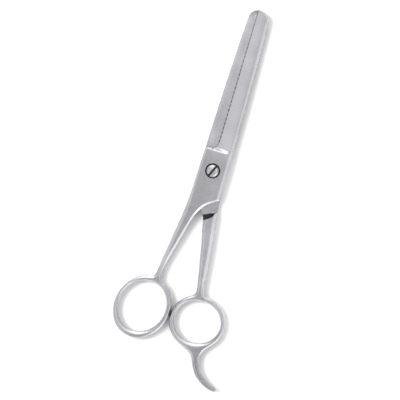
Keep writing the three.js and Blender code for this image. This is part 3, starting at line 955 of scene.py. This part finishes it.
def ground_steel():
    """Satin steel: ground across the blade and along the rest, a little mottled."""
    material = bpy.data.materials.new("satin_steel")
    material.use_nodes = True
    n = Nodes(material.node_tree)
    place = n.add("ShaderNodeTexCoord").outputs["Object"]
    across = n.noise(n.mapped(place, GRAIN_ACROSS), 1.0, 4.0, 0.7)
    along = n.noise(n.mapped(place, GRAIN_ALONG, GRAIN_LEAN), 1.0, 4.0, 0.7)
    mix = n.add("ShaderNodeMix", {"Factor": n.attribute("blade"), 2: along, 3: across}, data_type="FLOAT")
    grain = mix.outputs[0]
    cloud = n.noise(place, CLOUD_SCALE, 4.0)
    speck = n.noise(place, SPECK_SCALE, 2.0)
    tone = n.math("MULTIPLY", n.spread(cloud, *CLOUD_TONE), n.spread(grain, *GRAIN_TONE))
    tone = n.math("MULTIPLY", tone, n.attribute("tone"))
    patches = n.spread(cloud, STEEL_ROUGHNESS - 0.03, STEEL_ROUGHNESS + 0.03)
    gloss = n.math("ADD", patches, n.spread(grain, *GRAIN_GLOSS))
    height = n.math("ADD", grain, n.math("MULTIPLY", speck, SPECK_SHARE))
    finish_steel(n, STEEL_COLOUR, tone, gloss, height, GRAIN_DEPTH)
    return material


def turned_steel():
    """Steel with fine rings about the pivot, as a lathe leaves them."""
    material = bpy.data.materials.new("turned_steel")
    material.use_nodes = True
    n = Nodes(material.node_tree)
    place = n.add("ShaderNodeTexCoord").outputs["Object"]
    flat = n.mapped(place, (1, 1, 0))
    radius = n.add("ShaderNodeVectorMath", {0: flat}, operation="LENGTH").outputs["Value"]
    turns = n.math("MULTIPLY", radius, RINGS_PER_METRE)
    noise = n.add("ShaderNodeTexNoise", {"W": turns, "Scale": 1.0, "Detail": 2.0}, noise_dimensions="1D")
    rings = noise.outputs[0]
    cloud = n.noise(place, TURNED_CLOUD_SCALE, 4.0)
    tone = n.math("MULTIPLY", n.spread(cloud, *TURNED_CLOUD_TONE), n.spread(rings, *RING_TONE))
    patches = n.spread(cloud, TURNED_ROUGHNESS - 0.04, TURNED_ROUGHNESS + 0.04)
    gloss = n.math("ADD", patches, n.spread(rings, *RING_GLOSS))
    finish_steel(n, TURNED_COLOUR, tone, gloss, rings, RING_DEPTH)
    return material


def floor_paper():
    material = bpy.data.materials.new("floor_paper")
    material.use_nodes = True
    n = Nodes(material.node_tree)
    shader = n.add("ShaderNodeBsdfPrincipled", {"Base Color": PAPER_COLOUR, "Roughness": 0.9,
                                                "Specular IOR Level": 0.1})
    n.add("ShaderNodeOutputMaterial", {"Surface": shader.outputs[0]})
    return material


# ---------------------------------------------------------------------------
# Setting
# ---------------------------------------------------------------------------
# The camera looks straight down from VIEW_DISTANCE, and sees VIEW_WIDTH at the height of the pivot.
VIEW_TURN = math.radians(16.7)
VIEW_CENTRE = (-1.78, -14.95)
VIEW_WIDTH = 190.5
VIEW_DISTANCE = 900.0
SENSOR = 36.0

# The floor lies just under the lower half, so that no two faces share a plane.
FLOOR_REACH = 2000
FLOOR_GAP = 0.02


def toward(around, above):
    """Unit direction: around is degrees anticlockwise from the picture's right, above from the floor."""
    a, e = math.radians(around) + VIEW_TURN, math.radians(above)
    return (math.cos(a) * math.cos(e), math.sin(a) * math.cos(e), math.sin(e))


def camera():
    data = bpy.data.cameras.new("camera")
    data.sensor_width = SENSOR
    data.lens = SENSOR * VIEW_DISTANCE / VIEW_WIDTH
    obj = bpy.data.objects.new("camera", data)
    obj.location = (VIEW_CENTRE[0] * MM, VIEW_CENTRE[1] * MM, (VIEW_DISTANCE + MID_Z) * MM)
    obj.rotation_euler = (0, 0, VIEW_TURN)
    bpy.context.scene.collection.objects.link(obj)
    bpy.context.scene.camera = obj


def floor():
    size, low = FLOOR_REACH * MM, -FLOOR_GAP * MM
    mesh = bpy.data.meshes.new("floor")
    corners = [(-size, -size, low), (size, -size, low), (size, size, low), (-size, size, low)]
    mesh.from_pydata(corners, [], [(0, 1, 2, 3)])
    mesh.materials.append(floor_paper())
    obj = bpy.data.objects.new("floor", mesh)
    bpy.context.scene.collection.objects.link(obj)


# Wide soft lights round the table: direction around and above in degrees, how narrow, how bright.
SKY_BASE = 0.44
SKY_LIGHTS = [
    (92, 40, 13, 3.3),
    (90, 12, 10, 1.0),
    (48, 66, 24, 1.3),
    (225, 42, 8, 1.1),
    (165, 52, 12, 0.68),
    (-53, 22, 14, 2.75),
    (-10, 45, 14, 1.02),
    (182, 22, 10, 0.2),
    (40, 14, 6, 0.45),
]
KEY_DIRECTION = (155, 49)
KEY_ENERGY = 3.0
KEY_ANGLE = 28


def sky():
    """An even grey with the wide lights added to it."""
    world = bpy.data.worlds.new("studio")
    world.use_nodes = True
    bpy.context.scene.world = world
    n = Nodes(world.node_tree)
    ray = n.add("ShaderNodeTexCoord").outputs["Generated"]
    total = SKY_BASE
    for around, above, narrow, bright in SKY_LIGHTS:
        facing = n.add("ShaderNodeVectorMath", {0: ray, 1: toward(around, above)}, operation="DOT_PRODUCT")
        lobe = n.math("POWER", n.math("MAXIMUM", facing.outputs["Value"], 0.0), narrow)
        total = n.math("ADD", n.math("MULTIPLY", lobe, bright), total)
    shade = n.add("ShaderNodeBackground", {"Strength": total})
    n.add("ShaderNodeOutputWorld", {"Surface": shade.outputs[0]})


def key_light():
    """The lamp that casts the shadow. Its reflection is kept out of the steel, as a diffuser would."""
    light = bpy.data.lights.new("key", "SUN")
    light.energy = KEY_ENERGY
    light.angle = math.radians(KEY_ANGLE)
    lamp = bpy.data.objects.new("key", light)
    lamp.rotation_euler = Vector(toward(*KEY_DIRECTION)).to_track_quat("Z", "Y").to_euler()
    lamp.visible_glossy = False
    bpy.context.scene.collection.objects.link(lamp)


# ---------------------------------------------------------------------------
# The scene
# ---------------------------------------------------------------------------
bpy.context.scene.view_settings.view_transform = "Standard"
camera()
sky()
key_light()
floor()

satin = ground_steel()
turned = turned_steel()

PIECES = [
    (place_half("upper_half_forged", PLAIN, True), "upper", "upper_half", "upper_steel", satin),
    (place_half("lower_half_forged", TOOTHED, False), "lower", "lower_half", "lower_steel", satin),
    (pivot_screw(), "screw", "pivot_screw", "screw_steel", turned),
    (friction_washer(), "screw", "friction_washer", "washer_steel", turned),
]
for piece, body, node, slot, material in PIECES:
    piece.data.materials.clear()
    piece.data.materials.append(material)
    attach(piece, body)
    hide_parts(node)
